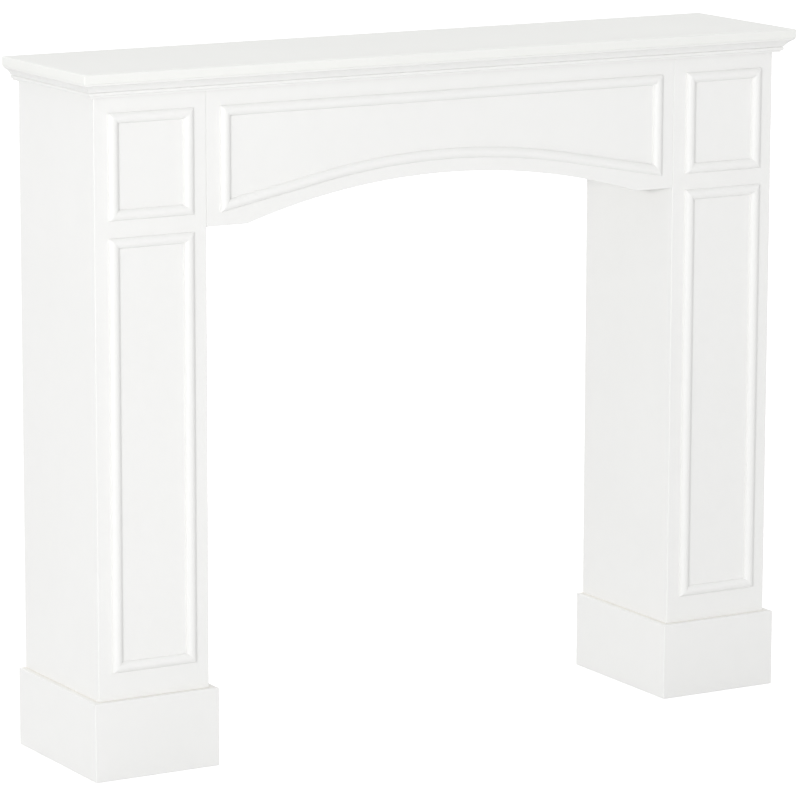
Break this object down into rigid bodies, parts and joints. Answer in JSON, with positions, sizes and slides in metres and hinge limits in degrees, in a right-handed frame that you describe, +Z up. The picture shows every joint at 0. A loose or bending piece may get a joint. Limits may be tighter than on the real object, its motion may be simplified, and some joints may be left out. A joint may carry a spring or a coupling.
{
  "type": "fireplace mantelpiece",
  "caption": "Freestanding painted fireplace mantelpiece: a moulded shelf over a frieze with a low arch, on panelled box legs with plinth feet.",
  "frame": {"origin": "on the floor, midway between the shelf's ends and between its front and back edges", "axes": "+X along the shelf to the right seen from the front, +Y towards the wall behind, +Z up"},
  "size_m": [1.2, 0.266, 1.02],
  "materials": {
    "shelf": "satin white paint on smooth board",
    "boards": "satin white paint on smooth board",
    "plinths": "satin white paint on smooth board",
    "crown": "satin white paint on moulded board",
    "beads": "satin white paint on moulded board"
  },
  "bodies": {
    "root": {"shelf": "shelf", "frieze": "boards", "crown_front": "crown", "crown_left": "crown", "crown_right": "crown", "leg_front_left": "boards", "leg_outer_left": "boards", "leg_inner_left": "boards", "leg_front_right": "boards", "leg_outer_right": "boards", "leg_inner_right": "boards", "plinth_front_left": "plinths", "plinth_outer_left": "plinths", "plinth_inner_left": "plinths", "plinth_front_right": "plinths", "plinth_outer_right": "plinths", "plinth_inner_right": "plinths", "frieze_bead_bottom": "beads", "frieze_bead_right": "beads", "frieze_bead_top": "beads", "frieze_bead_left": "beads", "upper_bead_left_bottom": "beads", "upper_bead_left_right": "beads", "upper_bead_left_top": "beads", "upper_bead_left_left": "beads", "lower_bead_left_bottom": "beads", "lower_bead_left_right": "beads", "lower_bead_left_top": "beads", "lower_bead_left_left": "beads", "upper_bead_right_bottom": "beads", "upper_bead_right_right": "beads", "upper_bead_right_top": "beads", "upper_bead_right_left": "beads", "lower_bead_right_bottom": "beads", "lower_bead_right_right": "beads", "lower_bead_right_top": "beads", "lower_bead_right_left": "beads"}
  },
  "joints": []
}
